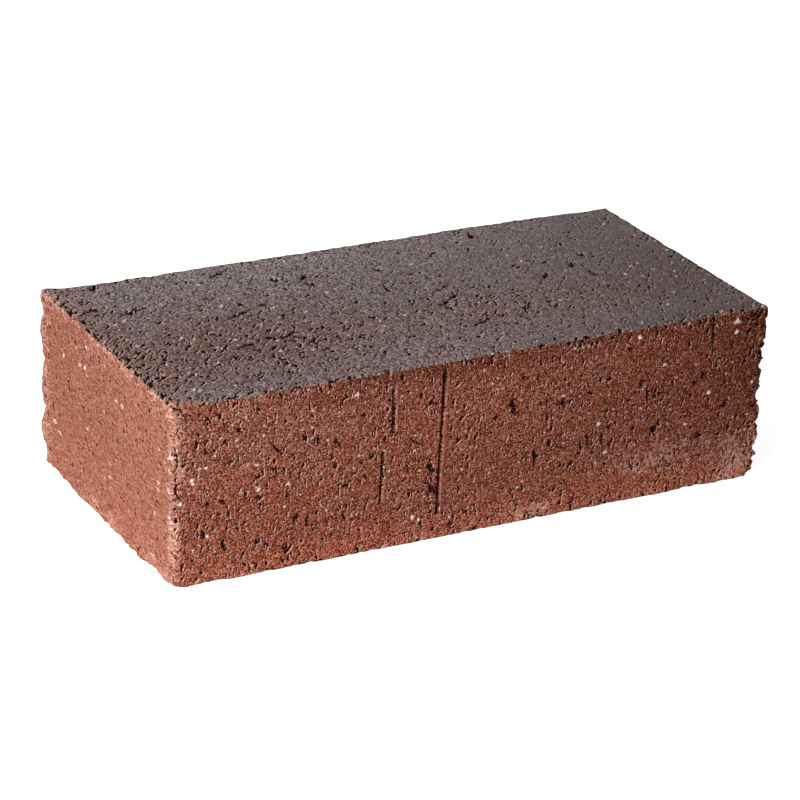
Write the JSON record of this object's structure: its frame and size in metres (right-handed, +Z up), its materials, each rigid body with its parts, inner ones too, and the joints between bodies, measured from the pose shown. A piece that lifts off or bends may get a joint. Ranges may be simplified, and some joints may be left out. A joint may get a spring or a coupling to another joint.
{
  "type": "solid brick",
  "caption": "Solid fired-clay brick, a plain rectangular block with worn arrises and drag scores down one stretcher face, for paving, steps and low walls.",
  "frame": {"origin": "centre of the bottom bed face's outline, on the surface the brick lies on", "axes": "+X along the length towards the right end, -Y out of the scored front stretcher face, +Z up out of the top bed face"},
  "size_m": [0.2, 0.0984, 0.0572],
  "materials": {
    "fired_clay": "matte, flashed grey-brown on the bed faces"
  },
  "bodies": {
    "root": {"brick": "fired_clay"}
  },
  "joints": []
}
